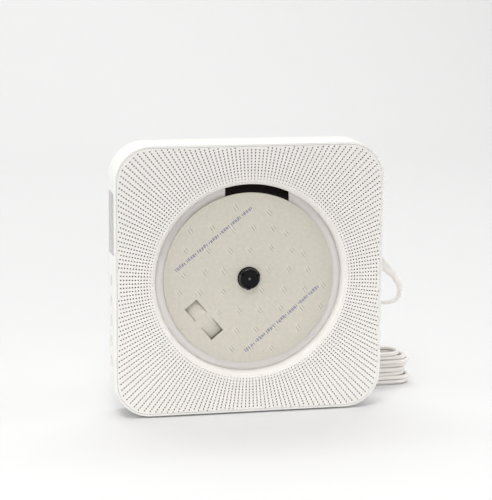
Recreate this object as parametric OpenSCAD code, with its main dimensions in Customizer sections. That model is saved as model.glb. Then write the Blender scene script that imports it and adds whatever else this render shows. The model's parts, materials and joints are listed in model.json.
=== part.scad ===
// Square wall-hung disc player with a drilled front panel and an open disc well.
// Frame: X to the right as seen from the front, Y into the player, Z up.
// The origin is under the middle of the body, on the surface that it stands on.
// Inside the modules a place is given by its depth behind the front face and
// its height above or below the middle of the disc well.

/* [Body] */
// Side of the square body
body_w = 188; // [186:1:190]
// Corner radius of the body
body_r = 25; // [24:1:27]
// Depth of the housing shell
shell_d = 32; // [32:0.5:33]
// Depth over everything, with the wall bracket
body_d = 40; // [40:0.5:42]
// Height that the rubber feet stand out
foot_h = 1; // [0.5:0.1:1]

/* [Disc well] */
// Radius where the lip of the well starts on the front face
lip_r = 69.8; // [69:0.1:70]
// Radius of the opening at the back of the lip
throat_r = 65.7; // [65.5:0.1:66]
// Depth of the lip
lip_d = 5.6; // [5.2:0.1:5.8]
// Depth of the floor of the well
floor_d = 10.5; // [10.4:0.1:10.6]
// Depth of the raised ring under the disc's edge
ring_d = 8; // [7.8:0.1:8.2]

/* [Disc] */
// Radius of the disc
disc_r = 59.7; // [58:0.1:60]
// Thickness of the disc
disc_t = 1.2; // [1:0.1:1.2]
// Depth of the disc's front face
disc_d = 5.6; // [5.4:0.1:5.8]

/* [Side controls] */
// Distance between the buttons
button_step = 14.15; // [13.5:0.05:14.2]
// Radius of a button
button_rad = 3.7; // [3:0.1:3.8]
// Travel of a button
button_travel = 0.6; // [0.3:0.1:0.6]

/* [Pickup] */
// Radius at which the lens rests
lens_r = 24; // [24:0.5:25]
// Travel of the pickup
lens_travel = 32; // [30:0.5:32]

/* [Cord] */
// Diameter of the cord
cord_d = 3; // [2.8:0.1:3.2]

/* [Hidden] */
$fn = 64;

front_y = -body_d / 2;
mid_z = body_w / 2 + foot_h;
half = body_w / 2;
wall = 2.6;
panel_t = 2;

white = [0.93, 0.92, 0.9];
grey = [0.84, 0.82, 0.81];

// depth at which things on the left and right sides are centred
side_d = 15.7;
display_z = 39.9;
jack_z = 7;
audio_z = 19.5;
switch_z = 34;

// ---------- helpers ----------
// 2D rounded rectangle made of true arcs
module rrect(w, h, r) {
  square([w, h - 2 * r], center = true);
  square([w - 2 * r, h], center = true);
  for (sx = [-1, 1], sy = [-1, 1])
    translate([sx * (w / 2 - r), sy * (h / 2 - r)]) circle(r);
}
// a 2D shape in (x, height from the middle) made solid from depth d0 to d1
module slab(d0, d1)
  translate([0, front_y + d1, mid_z]) rotate([90, 0, 0]) linear_extrude(d1 - d0) children();
// a profile in (radius, -depth) turned about the axis at (x, z)
module lathe(x = 0, z = 0)
  translate([x, front_y, mid_z + z]) rotate([90, 0, 0]) rotate_extrude($fn = 96) children();
// a round bar along the depth
module post(x, z, r, d0, d1)
  translate([x, front_y + d1, mid_z + z]) rotate([90, 0, 0]) cylinder(r = r, h = d1 - d0);
// a round bar along X
module across(x0, x1, d, z, r)
  translate([x0, front_y + d, mid_z + z]) rotate([0, 90, 0]) cylinder(r = r, h = x1 - x0);
// a box given by its limits in x, depth and height
module box(x, d, z)
  translate([x[0], front_y + d[0], mid_z + z[0]]) cube([x[1] - x[0], d[1] - d[0], z[1] - z[0]]);

// ---------- shell ----------
post_at = [[82.5, 82.5], [-82.5, 82.5], [38, -88], [-38, -88]];

module housing() color(white) difference() {
  union() {
    difference() {
      union() {
        slab(0.4, 0.8) rrect(body_w - 1.8, body_w - 1.8, body_r - 0.9);
        slab(0.8, 1.4) rrect(body_w - 0.7, body_w - 0.7, body_r - 0.35);
        slab(1.4, shell_d - 0.9) rrect(body_w, body_w, body_r);
        slab(shell_d - 0.9, shell_d) rrect(body_w - 1.2, body_w - 1.2, body_r - 0.6);
      }
      slab(-1, panel_t) rrect(body_w - 3.2, body_w - 3.2, body_r - 1.5);
      slab(1, shell_d - 2) rrect(body_w - 2 * wall, body_w - 2 * wall, body_r - wall);
      slab(shell_d - 2, shell_d + 1) rrect(body_w - 3.6, body_w - 3.6, body_r - 1.8);
    }
    for (p = post_at) post(p[0], p[1], 3.5, 14, shell_d - 2);
  }
  for (p = post_at) post(p[0], p[1], 1.25, 20, shell_d - 1.9);
  // display window
  box([-half - 1, -half + wall + 1], [side_d - 11.25, side_d + 11.25], [display_z - 21.35, display_z + 21.35]);
  // buttons
  for (i = [0:4]) across(-half - 1, -half + wall + 1, side_d, -0.2 - i * button_step, button_rad + 0.2);
  // sockets and switch on the right
  across(half - wall - 1, half + 1, side_d, jack_z, 4.2);
  across(half - wall - 1, half + 1, side_d, audio_z, 3.3);
  box([half - wall - 1, half + 1], [side_d - 1.6, side_d + 1.6], [switch_z - 4.4, switch_z + 4.4]);
  box([half - 1, half + 1], [side_d - 3.2, side_d + 3.2], [switch_z - 6, switch_z + 6]);
  // seats of the feet
  for (s = [-1, 1]) box([s * 62 - 14.2, s * 62 + 14.2], [4.8, 27.2], [-half - 1, -half + 0.65]);
}

// the lip of the well: a quarter ellipse from the flat face to the throat
function lip(t, off) = [throat_r + off + (lip_r - throat_r) * (1 - sin(t)), -(lip_d + off * 0.2) * (1 - cos(t))];

module front_panel() color([0.91, 0.89, 0.87]) union() {
  difference() {
    slab(0, panel_t) rrect(body_w - 3.6, body_w - 3.6, body_r - 1.7);
    slab(-1, panel_t + 1) circle(r = 74, $fn = 96);
  }
  lathe() polygon(concat(
    [[74.5, 0]],
    [for (t = [0:15:90]) lip(t, 0)],
    [[throat_r, -6], [throat_r + 1.6, -6]],
    [for (t = [90:-15:0]) [throat_r + 1.6 + (71.6 - throat_r - 1.6) * (1 - sin(t)), -2 - 3.6 * (1 - cos(t))]],
    [[74.5, -2]]));
  for (a = [40, 140, 220, 320]) post(71.2 * cos(a), 71.2 * sin(a), 1.9, 1.5, 6.3);
}

// thin dark cloth behind the panel's holes
module grille_cloth() color([0.2, 0.18, 0.17]) difference() {
  slab(panel_t, panel_t + 0.3) rrect(182.4, 182.4, 22.2);
  slab(0, 4) circle(r = 75, $fn = 96);
}

// the ring beside the disc: it falls away outwards in a quarter ellipse to a wall under the lip, and slopes to the floor inwards
ring = [for (a = [90:-10:0]) [60.2 + 5.6 * sin(a), -(ring_d + 1.4 * (1 - cos(a)))]];
dish = concat([[throat_r + 0.4, -6.3], [throat_r + 0.4, -(ring_d + 1.4)]], ring, [[56.6, -ring_d], [52.5, -floor_d]]);
dish_back = concat([[52.7, -(floor_d + 1.5)], [56.8, -(ring_d + 1.5)]],
  [for (a = [0:10:90]) [60.2 + 5.3 * sin(a), -(ring_d + 1.5 + 1.4 * (1 - cos(a)))]],
  [[throat_r + 1.9, -(ring_d + 2.9)], [throat_r + 1.9, -7.8]]);

module deck_body() union() {
  lathe() polygon(concat([[74.4, -6.3]], dish, [[8, -floor_d], [8, -(floor_d + 1.5)]], dish_back, [[74.4, -7.8]]));
  // posts for the dampers
  for (p = damper_at) post(p[0], p[1], 2.6, norm(p) > 60 ? 7.5 : floor_d + 1, 12.3);
}
module deck() color(grey) difference() {
  deck_body();
  // slot for the lens
  box([-58.85, -20.4], [5, 13], [-6, 6]);
  // opening for the black window
  intersection() {
    box([-16.6, 28.2], [4, 13], [50, 80]);
    lathe() polygon([[57.4, 0], [66.7, 0], [66.7, -14], [57.4, -14]]);
  }
  for (p = damper_at) post(p[0], p[1], 1.25, norm(p) > 60 ? 9 : 10.9, 12.4);
  for (a = [40, 140, 220, 320]) post(71.2 * cos(a), 71.2 * sin(a), 1.1, 6, 8);
}

module ir_window() color([0.05, 0.04, 0.05]) intersection() {
  box([-16.4, 28], [4, 13], [50.2, 80]);
  lathe() polygon([[57.6, 0], [66.5, 0], [66.5, -14], [57.6, -14]]);
  lathe() polygon(concat([[70, -(ring_d + 1.4)]], ring, [[56, -ring_d], [56, -(ring_d + 1.2)]],
    [for (a = [0:10:90]) [60.2 + 5.4 * sin(a), -(ring_d + 1.2 + 1.4 * (1 - cos(a)))]], [[70, -(ring_d + 2.6)]]));
}

module ir_receiver() color([0.16, 0.15, 0.17]) union() {
  box([2.4, 9.4], [13.2, 17.2], [58, 65]);
  intersection() {
    translate([5.9, front_y + 13.6, mid_z + 61.5]) sphere(r = 2, $fn = 32);
    box([2, 10], [12.1, 14], [58, 65]);
  }
  for (x = [3.4, 5.9, 8.4]) box([x - 0.25, x + 0.25], [14.6, 15.1], [56, 58.2]);
  box([-2, 14], [14.1, 15.7], [51, 56.5]);
  box([1, 11], [12.1, 14.2], [51.5, 54.5]);
}

// ---------- left side ----------
module display_window() color([0.72, 0.7, 0.74])
  difference() {
    translate([-half, front_y + side_d, mid_z + display_z]) rotate([90, 0, 90])
      linear_extrude(1.2) rrect(22.2, 42.4, 1.6);
    // a shallow step on the inside for the glass
    box([-half + 0.9, -half + 2], [side_d - 9, side_d + 9], [display_z - 19, display_z + 19]);
  }

module display_module() color([0.3, 0.34, 0.3]) union() {
  difference() {
    box([-91.2, -86.6], [side_d - 12, side_d + 12], [display_z - 23.5, display_z + 23.5]);
    box([-91.4, -89.8], [side_d - 9.4, side_d + 9.4], [display_z - 19.4, display_z + 19.4]);
  }
  box([-92.7, -89.6], [side_d - 9, side_d + 9], [display_z - 19, display_z + 19]);
  box([-87, -84.8], [side_d - 11, side_d + 11], [display_z - 23, display_z + 22]);
}

module button_board() color([0.2, 0.42, 0.28]) union() {
  box([-85.4, -83.8], [side_d - 10, side_d + 10], [-66, 8]);
  for (i = [0:4]) {
    z = -0.2 - i * button_step;
    box([-88.4, -85.3], [side_d - 3, side_d + 3], [z - 3, z + 3]);
    across(-89.2, -88.3, side_d, z, 1.75);
  }
}

module button(i) {
  z = -0.2 - i * button_step;
  color([0.8, 0.79, 0.78]) difference() {
    union() {
      across(-half, -91.3, side_d, z, button_rad);
      across(-91.31, -90.5, side_d, z, button_rad + 1.1);
      across(-90.51, -89.9, side_d, z, 2);
    }
    // shallow finger dish
    translate([-half - 19.6, front_y + side_d, mid_z + z]) sphere(r = 20, $fn = 64);
  }
}

// ---------- back ----------
stud_z = 35;
module keyhole2d(x) {
  translate([x, stud_z - 12]) circle(r = 4.5);
  translate([x, stud_z]) circle(r = 2.3);
  translate([x - 2.3, stud_z - 12]) square([4.6, 12]);
}

module rear_cover() color([0.9, 0.89, 0.87]) difference() {
  union() {
    difference() {
      union() {
        slab(shell_d - 2, shell_d) rrect(body_w - 4, body_w - 4, body_r - 2);
        slab(shell_d - 0.1, 38.4) rrect(160, 160, 16);
      }
      slab(shell_d - 3, 36.4) rrect(156, 156, 14);
    }
    // pocket that the bracket lies in
    slab(33.4, 38.4) translate([0, 28.75]) rrect(114, 75.5, 5);
    // standoffs for the main board
    for (x = [-48, 48], z = [-74, -22]) post(x, z, 2.6, 30.2, 36.5);
  }
  slab(35.3, 39) translate([0, 28.75]) rrect(110, 71.5, 3);
  slab(33, 36) { keyhole2d(28); keyhole2d(-28); }
  for (x = [-48, 48], z = [-74, -22]) post(x, z, 1.05, 30, 35.6);
  for (p = post_at) post(p[0], p[1], 1.5, shell_d - 3, shell_d + 1);
  // vents
  for (x = [-60:8:60]) slab(36, 39) translate([x, -48]) rrect(2, 26, 0.99);
}

module rear_screws() color([0.6, 0.6, 0.62]) for (p = post_at) difference() {
  union() {
    post(p[0], p[1], 1.2, 22, shell_d + 0.1);
    post(p[0], p[1], 2.6, shell_d, shell_d + 1.4);
  }
  box([p[0] - 1.8, p[0] + 1.8], [shell_d + 0.7, shell_d + 2], [p[1] - 0.35, p[1] + 0.35]);
  box([p[0] - 0.35, p[0] + 0.35], [shell_d + 0.7, shell_d + 2], [p[1] - 1.8, p[1] + 1.8]);
}

module wall_bracket() color([0.72, 0.72, 0.74]) union() {
  difference() {
    slab(38.5, body_d) translate([0, stud_z]) rrect(100, 52, 4);
    for (x = [-42, 42], z = [-18, 18]) post(x, stud_z + z, 2.25, 38, body_d + 1);
    slab(38, body_d + 1) translate([0, stud_z]) rrect(30, 26, 4);
  }
  for (x = [-28, 28]) {
    post(x, stud_z, 2, 32.8, 38.6);
    post(x, stud_z, 4, 31.4, 32.9);
  }
}

module feet() color([0.75, 0.74, 0.73]) for (s = [-1, 1])
  translate([s * 62, front_y + 16, 0]) linear_extrude(foot_h + 0.55) rrect(28, 22, 2);

// ---------- boards ----------
module main_board() color([0.16, 0.4, 0.24]) union() {
  difference() {
    box([-52, 52], [28.6, 30.2], [-77, -18]);
    for (x = [-48, 48], z = [-74, -22]) post(x, z, 1.4, 28, 31);
  }
  // chips
  box([-14, 2], [30.1, 31.8], [-52, -36]);
  box([14, 24], [30.1, 31.6], [-44, -30]);
  box([-38, -26], [30.1, 31.6], [-66, -56]);
  // capacitors
  for (x = [-40, -30, 30, 40]) post(x, -38, 3.8, 30.1, 35.4);
  for (x = [10, 19, 28]) post(x, -66, 3, 30.1, 34.4);
  // connectors
  for (x = [-34, -14, 6, 26]) box([x, x + 11], [30.1, 35], [-76, -71]);
}
module board_screws() color([0.6, 0.6, 0.62]) for (x = [-48, 48], z = [-74, -22]) {
  post(x, z, 1, 28.5, 35);
  post(x, z, 2.4, 27.3, 28.6);
}
module deck_screws() color([0.6, 0.6, 0.62]) for (a = [40, 140, 220, 320]) {
  post(71.2 * cos(a), 71.2 * sin(a), 1.05, 6.3, 7.9);
  post(71.2 * cos(a), 71.2 * sin(a), 2.2, 7.8, 9);
}

// ---------- right side ----------
module side_board() color([0.16, 0.4, 0.24]) difference() {
  box([78.8, 80.4], [side_d - 11, side_d + 11], [-24, 46]);
  for (z = [-20, 42]) across(78, 81, side_d, z, 1.6);
}
module dc_jack() color([0.1, 0.1, 0.11]) union() {
  difference() {
    union() {
      box([80.4, 91.2], [side_d - 4.6, side_d + 4.6], [jack_z - 5.6, jack_z + 5.6]);
      across(91.1, 93.6, side_d, jack_z, 4);
    }
    across(82, 94, side_d, jack_z, 2.95);
  }
  across(81.9, 91.5, side_d, jack_z, 1.05);
}
module audio_jack() color([0.1, 0.1, 0.11]) difference() {
  union() {
    box([80.4, 91.2], [side_d - 3.6, side_d + 3.6], [audio_z - 3.6, audio_z + 3.6]);
    across(91.1, 93.7, side_d, audio_z, 3);
  }
  across(81.7, 95, side_d, audio_z, 1.8);
}
module switch_body() color([0.12, 0.12, 0.13]) difference() {
  box([80.4, 91.2], [side_d - 4, side_d + 4], [switch_z - 8, switch_z + 8]);
  box([86, 92], [side_d - 1.6, side_d + 1.6], [switch_z - 4.4, switch_z + 4.4]);
}
module switch_knob() color([0.13, 0.13, 0.14]) difference() {
  box([86.4, half], [side_d - 1.3, side_d + 1.3], [switch_z - 4, switch_z - 0.4]);
  for (k = [0:2]) box([half - 0.35, half + 1], [side_d - 2, side_d + 2], [switch_z - 3.4 + k * 1.1, switch_z - 2.9 + k * 1.1]);
}

// ---------- speakers ----------
spk = [64, -67];
module speaker_frame(s) color([0.2, 0.2, 0.21]) lathe(s * spk[0], spk[1])
  polygon([[18, -2.3], [15.4, -2.3], [15.4, -4.4], [13.8, -6], [9, -10.8], [6.2, -10.8], [6.2, -12],
           [9.6, -12], [16.2, -6], [16.6, -4.2], [18, -4.2]]);
module speaker_magnet(s) color([0.33, 0.33, 0.35]) union() {
  lathe(s * spk[0], spk[1]) polygon([[5.2, -12], [11.5, -12], [11.5, -18], [0, -18], [0, -16.5], [5.2, -16.5]]);
  post(s * spk[0], spk[1], 3.7, 11.6, 17);
}
module speaker_cone(s) color([0.13, 0.13, 0.14]) lathe(s * spk[0], spk[1])
  polygon([[13.2, -4.2], [5, -8.4], [3, -7.6], [0, -7.2], [0, -7.7], [2.9, -8.1], [4.1, -8.6], [4.1, -14.2], [4.6, -14.2], [4.6, -9.1], [5.2, -9], [13.2, -4.9]]);
module speaker_surround(s) color([0.1, 0.1, 0.1]) lathe(s * spk[0], spk[1])
  polygon([[15.3, -3.2], [15.3, -4], [14.9, -4.1], [14.2, -3.6], [13.7, -4.1], [13.5, -4.6], [13.5, -3.9], [13.9, -3], [14.4, -2.8], [14.9, -3.2]]);

// ---------- mechanism ----------
damper_at = [[-66, -26], [-58, 41], [24, 40], [20, -22]];
rod_z = 16.5;
rod_d = 18;
gear_at = [-40, 26.4];
gear_cd = 15.6;
motor_at = [gear_at[0] + gear_cd * cos(40), gear_at[1] + gear_cd * sin(40)];

module mechanism_plate() color([0.62, 0.62, 0.64]) difference() {
  union() {
    slab(13, 14.5) translate([-24.5, 9.5]) rrect(113, 81, 4);
    for (x = [-79.5, -14], z = [-rod_z, rod_z]) box([x, x + 3], [14.4, 20.6], [z - 2.5, z + 2.5]);
    // the drive gear's pin, riveted into the plate
    post(gear_at[0], gear_at[1], 1, 14.4, 25.5);
    post(gear_at[0], gear_at[1], 1.7, 25.4, 26);
  }
  for (z = [-rod_z, rod_z])
    translate([-81, front_y + rod_d, mid_z + z]) rotate([0, 90, 0]) cylinder(r = 1.55, h = 72);
  post(0, 0, 3.1, 12, 16);
  box([-65, -16.5], [12, 15], [-8, 8]);
  post(motor_at[0], motor_at[1], 2.6, 12, 16);
  for (p = damper_at) post(p[0], p[1], 3, 12, 16);
}
module dampers() color([0.1, 0.1, 0.1]) for (p = damper_at) difference() {
  union() {
    post(p[0], p[1], 4.2, 12.3, 13);
    post(p[0], p[1], 2.95, 12.9, 14.6);
    post(p[0], p[1], 4.2, 14.5, 15.3);
  }
  post(p[0], p[1], 1.5, 12, 16);
}
module damper_screws() color([0.6, 0.6, 0.62]) for (p = damper_at) {
  post(p[0], p[1], 1.2, norm(p) > 60 ? 10 : 11.4, 15.4);
  post(p[0], p[1], 3, 15.3, 16.4);
}
module guide_rods() color([0.75, 0.76, 0.78]) for (z = [-rod_z, rod_z])
  translate([-79.3, front_y + rod_d, mid_z + z]) rotate([0, 90, 0]) cylinder(r = 1.5, h = 68.2);

module spindle_motor() color([0.7, 0.7, 0.72]) difference() {
  union() {
    post(0, 0, 12, 14.5, 25.4);
    post(0, 0, 10.8, 25.3, 26.3);
    post(0, 0, 3, 13.2, 14.6);
  }
  post(0, 0, 1.06, 12, 24.2);
}
module sled_motor() color([0.7, 0.7, 0.72]) difference() {
  union() {
    post(motor_at[0], motor_at[1], 9, 14.5, 21.4);
    post(motor_at[0], motor_at[1], 2.5, 13.2, 22.3);
  }
  post(motor_at[0], motor_at[1], 0.81, 15, 23);
}

// spur gears: involute flanks from the base circle outwards
function inv(a) = tan(a) * 180 / PI - a;
function half_tooth(rho, rp, rb, thick) =
  thick / 2 / rp * 180 / PI + inv(20) - (rho > rb ? inv(acos(rb / rho)) : 0);
function spur(z, m, add, ded, thick) = let(rp = m * z / 2, rb = rp * cos(20), ro = rp + add, ri = rp - ded)
  [for (k = [0:z - 1]) for (q = [[ri, -1], [max(ri, rb), -1], [rp, -1], [(rp + ro) / 2, -1], [ro, -1],
                                 [ro, 1], [(rp + ro) / 2, 1], [rp, 1], [max(ri, rb), 1], [ri, 1]])
    let(a = k * 360 / z + q[1] * half_tooth(q[0], rp, rb, thick) * (q[0] == ri && ri < rb ? 1.12 : 1))
    [q[0] * cos(a), q[0] * sin(a)]];

rack_pitch = PI * 0.8;
rack_line = rod_z + 5.1;
module drive_gear() color([0.92, 0.92, 0.88]) difference() {
  union() {
    slab(23, 25) translate(gear_at) rotate(40) polygon(spur(40, 0.6, 0.42, 0.62, 0.72));
    slab(17.8, 23.1) translate(gear_at) rotate(-90) polygon(spur(12, 0.8, 0.55, 0.8, 0.98));
  }
  post(gear_at[0], gear_at[1], 1.04, 17, 26);
  for (a = [70, 190, 310]) post(gear_at[0] + 8 * cos(a), gear_at[1] + 8 * sin(a), 1.6, 22, 26);
}
module motor_pinion() color([0.85, 0.72, 0.35]) union() {
  slab(23, 25.2) translate(motor_at) rotate(40 + 180 + 15) polygon(spur(12, 0.6, 0.42, 0.62, 0.72));
  post(motor_at[0], motor_at[1], 0.75, 16, 25.6);
}

module spindle_shaft() color([0.75, 0.76, 0.78]) post(0, 0, 1, 2.2, 24);
module turntable() color([0.12, 0.12, 0.13]) difference() {
  union() {
    post(0, 0, 14, 6.8, 8.6);
    post(0, 0, 4, 8.5, 12.4);
  }
  post(0, 0, 1, 6, 13);
  lathe() polygon([[10.5, -6], [9.5, -6], [9.5, -7.1], [10.5, -7.1]]);
}
claw_a = [24, 145, 266];
module hub() color([0.07, 0.07, 0.08]) difference() {
  lathe() polygon([[1, -2.4], [1, -6.8], [7.35, -6.8], [7.35, -3.6], [7.1, -2.8], [6.4, -2.2], [5.2, -1.9], [1.9, -1.8], [1.6, -2.4]]);
  for (a = claw_a) translate([0, front_y, mid_z]) rotate([0, -a, 0]) translate([3.6, 3.1, -1.55]) cube([5, 3, 3.1]);
}
module claw(i) color([0.1, 0.1, 0.11]) translate([0, front_y, mid_z]) rotate([0, -claw_a[i], 0]) union() {
  translate([4.6, 3.3, -1.35]) cube([2.6, 2.6, 2.7]);
  translate([7.1, 3.7, -1.35]) cube([0.7, 1.3, 2.7]);
}

// two die-cut windows in the card, whose flaps are pressed back
cut_at = [[-37.1, -21.6], [-25.5, -35.1]];
cut_w = 10.5;
cut_l = 11.6;
module disc() color([0.81, 0.79, 0.73]) union() {
  difference() {
    slab(disc_d, disc_d + disc_t) circle(r = disc_r, $fn = 128);
    slab(disc_d - 1, disc_d + disc_t + 1) circle(r = 7.95);
    for (p = cut_at) slab(disc_d - 1, disc_d + disc_t + 1) translate(p) rotate(-50) square([cut_l, cut_w], center = true);
  }
  for (i = [0, 1]) translate([cut_at[i][0], front_y, mid_z + cut_at[i][1]]) rotate([0, 50, 0]) mirror([i, 0, 0])
    linear_extrude(cut_w - 0.4, center = true)
      polygon([[cut_l / 2 + 0.6, 5.75], [cut_l / 2 - 0.1, 5.75], [-cut_l / 2 + 0.3, 8.7], [-cut_l / 2 + 0.3, 9.5], [cut_l / 2 - 0.1, 6.7], [cut_l / 2 + 0.6, 6.7]]);
}

// the pickup at rest
sx = -lens_r;
module sled() color([0.15, 0.15, 0.17]) union() {
  difference() {
    union() {
      box([sx - 14.4, sx + 10.4], [15.6, 21.4], [-13, 13]);
      box([sx - 13, sx + 9], [15.6, 20.4], [12.9, 20.2]);
      box([sx - 9, sx + 5], [16, 20], [-19.6, -12.9]);
    }
    translate([-60, front_y + rod_d, mid_z + rod_z]) rotate([0, 90, 0]) cylinder(r = 1.56, h = 60);
    translate([-60, front_y + rod_d, mid_z - rod_z]) rotate([0, 90, 0]) cylinder(r = 1.6, h = 60);
    box([-60, 0], [rod_d - 1.6, rod_d + 1.6], [-22, -rod_z]);
    box([sx - 3, sx + 3], [15, 18], [-4, 4]);
  }
  // magnet yokes beside the lens
  box([sx - 6.6, sx - 5.4], [12.3, 15.7], [-6.5, 6.5]);
  box([sx + 5.4, sx + 6.6], [12.3, 15.7], [-6.5, 6.5]);
  // circuit on the back
  box([sx - 13, sx + 4], [21.3, 22.3], [-11, 11]);
  // rack
  box([sx - 18.5, sx + 18.5], [18.5, 21], [rod_z + 2.7, rack_line - 0.7]);
  for (k = [-1:13]) slab(18.5, 21) translate([gear_at[0] + (k + 0.5) * rack_pitch, rack_line])
    polygon([[-0.74, -0.75], [0.74, -0.75], [0.29, 0.55], [-0.29, 0.55]]);
}
module lens_holder() color([0.1, 0.1, 0.11]) difference() {
  box([sx - 2.6, sx + 2.6], [10, 15.1], [-5, 5]);
  post(sx, 0, 2.1, 9.5, 16);
}
module lens() color([0.55, 0.6, 0.8]) intersection() {
  union() {
    post(sx, 0, 2.05, 10, 11.4);
    translate([sx, front_y + 11.2, mid_z]) sphere(r = 2.35, $fn = 48);
  }
  post(sx, 0, 2.05, 8.5, 11.4);
}

// ---------- cord ----------
// the cord's route in the part's frame, from the strain relief down to the hank
plug_y = front_y + side_d;
relief_route = [[107.1, -4.3, 90.9], [109.5, -4.2, 87.3], [111.4, -4, 84], [112.2, -3.4, 80.4], [112, -2.5, 77]];
cord_route = [[112, -2.5, 77], [111, -1.2, 73.8], [109, 1, 71.4], [106, 4.5, 69.8], [103, 8.5, 68.8],
              [101, 12.7, 67], [100, 17, 63.7], [99.6, 21.6, 58.9], [99.5, 26.2, 53], [99.5, 30.3, 46.6], [99.1, 33.6, 40.3],
              [97, 35.8, 34.3], [92, 36.5, 29.6], [86, 36, 27]];
tail_route = [[66, 35.8, 2.4], [60, 36, 2.3], [54, 37.4, 2.2], [48, 40.2, 2.6], [42, 43.2, 3.4], [37, 44.8, 3.9], [34, 45, 3.9]];
hank_box = [[57, 135], [34.2, 54.2], [0.8, 28]];

// Catmull-Rom points along a route, n to each span
function along(p, n) = let(k = len(p)) concat(
  [for (i = [0:k - 2]) for (j = [0:n - 1])
    let(t = j / n, a = p[max(i - 1, 0)], b = p[i], c = p[i + 1], e = p[min(i + 2, k - 1)])
    0.5 * (2 * b + (c - a) * t + (2 * a - 5 * b + 4 * c - e) * t * t + (3 * b - a - 3 * c + e) * t * t * t)],
  [p[k - 1]]);
function unit(v) = v / norm(v);
module tube(p, r0, r1, ref, sides = 8) {
  n = len(p);
  rings = [for (i = [0:n - 1])
    let(t = unit(p[min(i + 1, n - 1)] - p[max(i - 1, 0)]), u = unit(cross(t, ref)), v = cross(t, u), r = r0 + (r1 - r0) * i / (n - 1))
    for (k = [0:sides - 1]) p[i] + r * (cos(k * 360 / sides) * u + sin(k * 360 / sides) * v)];
  polyhedron(rings, concat(
    [[for (k = [sides - 1:-1:0]) k]],
    [for (i = [0:n - 2]) for (k = [0:sides - 1])
      [i * sides + k, i * sides + (k + 1) % sides, (i + 1) * sides + (k + 1) % sides, (i + 1) * sides + k]],
    [[for (k = [0:sides - 1]) (n - 1) * sides + k]]));
}

module dc_plug() color([0.95, 0.94, 0.92]) union() {
  difference() {
    across(84.6, 94.2, side_d, jack_z, 2.75);
    across(84, 93.4, side_d, jack_z, 1.4);
  }
  across(94.1, 96, side_d, jack_z, 3.5);
  intersection() {
    translate([96, plug_y, mid_z + jack_z]) sphere(r = 3.8, $fn = 48);
    across(94.1, 100, side_d, jack_z, 6);
  }
  translate([96, plug_y, mid_z + jack_z]) rotate([0, 135, 0]) translate([0, 0, 1]) cylinder(r1 = 3.6, r2 = 2.9, h = 14.6);
}
module strain_relief() color([0.95, 0.94, 0.92]) tube(along(relief_route, 2), 2.6, 1.85, [0, 1, 0], 12);
module power_cord() color([0.95, 0.94, 0.93]) tube(along(cord_route, 2), cord_d / 2, cord_d / 2, [0, 1, 0]);
module cord_tail() color([0.95, 0.94, 0.93]) tube(along(tail_route, 1), cord_d / 2, cord_d / 2, [0, 0, 1]);
module cord_hank() color([0.95, 0.94, 0.93]) {
  x = hank_box[0]; y = hank_box[1]; z = hank_box[2];
  translate([(x[0] + x[1]) / 2, (y[0] + y[1]) / 2, z[0]]) linear_extrude(z[1] - z[0])
    rrect(x[1] - x[0], y[1] - y[0], (y[1] - y[0]) / 2 - 0.01);
}
module cord_tie() color([0.9, 0.9, 0.9]) difference() {
  translate([72, hank_box[1][0] - 0.8, 0]) cube([5, 21.6, 28.8]);
  translate([71, hank_box[1][0] - 0.01, 0.79]) cube([7, 20.02, 27.22]);
}
module usb_plug() color([0.95, 0.94, 0.92]) translate([23, 45, 0]) union() {
  rotate([0, 90, 0]) translate([-3.9, 0, -11]) linear_extrude(22) rrect(7.8, 15.6, 2);
}
module usb_shell() color([0.78, 0.79, 0.8]) difference() {
  translate([0, 39, 1.65]) cube([12, 12, 4.5]);
  translate([-1, 39.3, 1.95]) cube([11, 11.4, 1.9]);
  translate([-1, 39.3, 5.2]) cube([11, 11.4, 0.65]);
}

housing();
front_panel();
grille_cloth();
deck();
ir_window();
ir_receiver();
display_window();
display_module();
button_board();
button(0);  // button_1
button(1);  // button_2
button(2);  // button_3
button(3);  // button_4
button(4);  // button_5
rear_cover();
rear_screws();
wall_bracket();
feet();
main_board();
board_screws();
deck_screws();
side_board();
dc_jack();
audio_jack();
switch_body();
switch_knob();
speaker_frame(-1);  // speaker_frame_left
speaker_magnet(-1);  // speaker_magnet_left
speaker_cone(-1);  // speaker_cone_left
speaker_surround(-1);  // speaker_surround_left
speaker_frame(1);  // speaker_frame_right
speaker_magnet(1);  // speaker_magnet_right
speaker_cone(1);  // speaker_cone_right
speaker_surround(1);  // speaker_surround_right
mechanism_plate();
dampers();
damper_screws();
guide_rods();
spindle_motor();
sled_motor();
spindle_shaft();
turntable();
hub();
claw(0);  // claw_1
claw(1);  // claw_2
claw(2);  // claw_3
disc();
sled();
lens_holder();
lens();
drive_gear();
motor_pinion();
dc_plug();
strain_relief();
power_cord();
cord_hank();
cord_tie();
cord_tail();
usb_plug();
usb_shell();
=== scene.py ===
import json
import math
import random

import bmesh
import bpy
from mathutils import Matrix, Vector

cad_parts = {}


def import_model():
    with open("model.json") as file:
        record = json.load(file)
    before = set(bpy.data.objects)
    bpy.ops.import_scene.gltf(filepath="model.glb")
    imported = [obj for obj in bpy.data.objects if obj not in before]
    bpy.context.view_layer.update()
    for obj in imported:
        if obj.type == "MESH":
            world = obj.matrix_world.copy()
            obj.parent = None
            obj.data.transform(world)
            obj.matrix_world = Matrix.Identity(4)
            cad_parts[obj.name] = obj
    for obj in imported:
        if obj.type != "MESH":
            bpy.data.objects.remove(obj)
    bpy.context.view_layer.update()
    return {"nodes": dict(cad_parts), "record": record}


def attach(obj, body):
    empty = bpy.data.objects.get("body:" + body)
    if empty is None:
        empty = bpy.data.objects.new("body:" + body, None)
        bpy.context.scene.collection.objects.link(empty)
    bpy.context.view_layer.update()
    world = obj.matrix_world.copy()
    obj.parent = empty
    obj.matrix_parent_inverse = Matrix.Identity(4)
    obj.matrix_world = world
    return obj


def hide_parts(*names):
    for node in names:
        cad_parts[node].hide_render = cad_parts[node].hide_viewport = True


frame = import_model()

random.seed(7)
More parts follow.
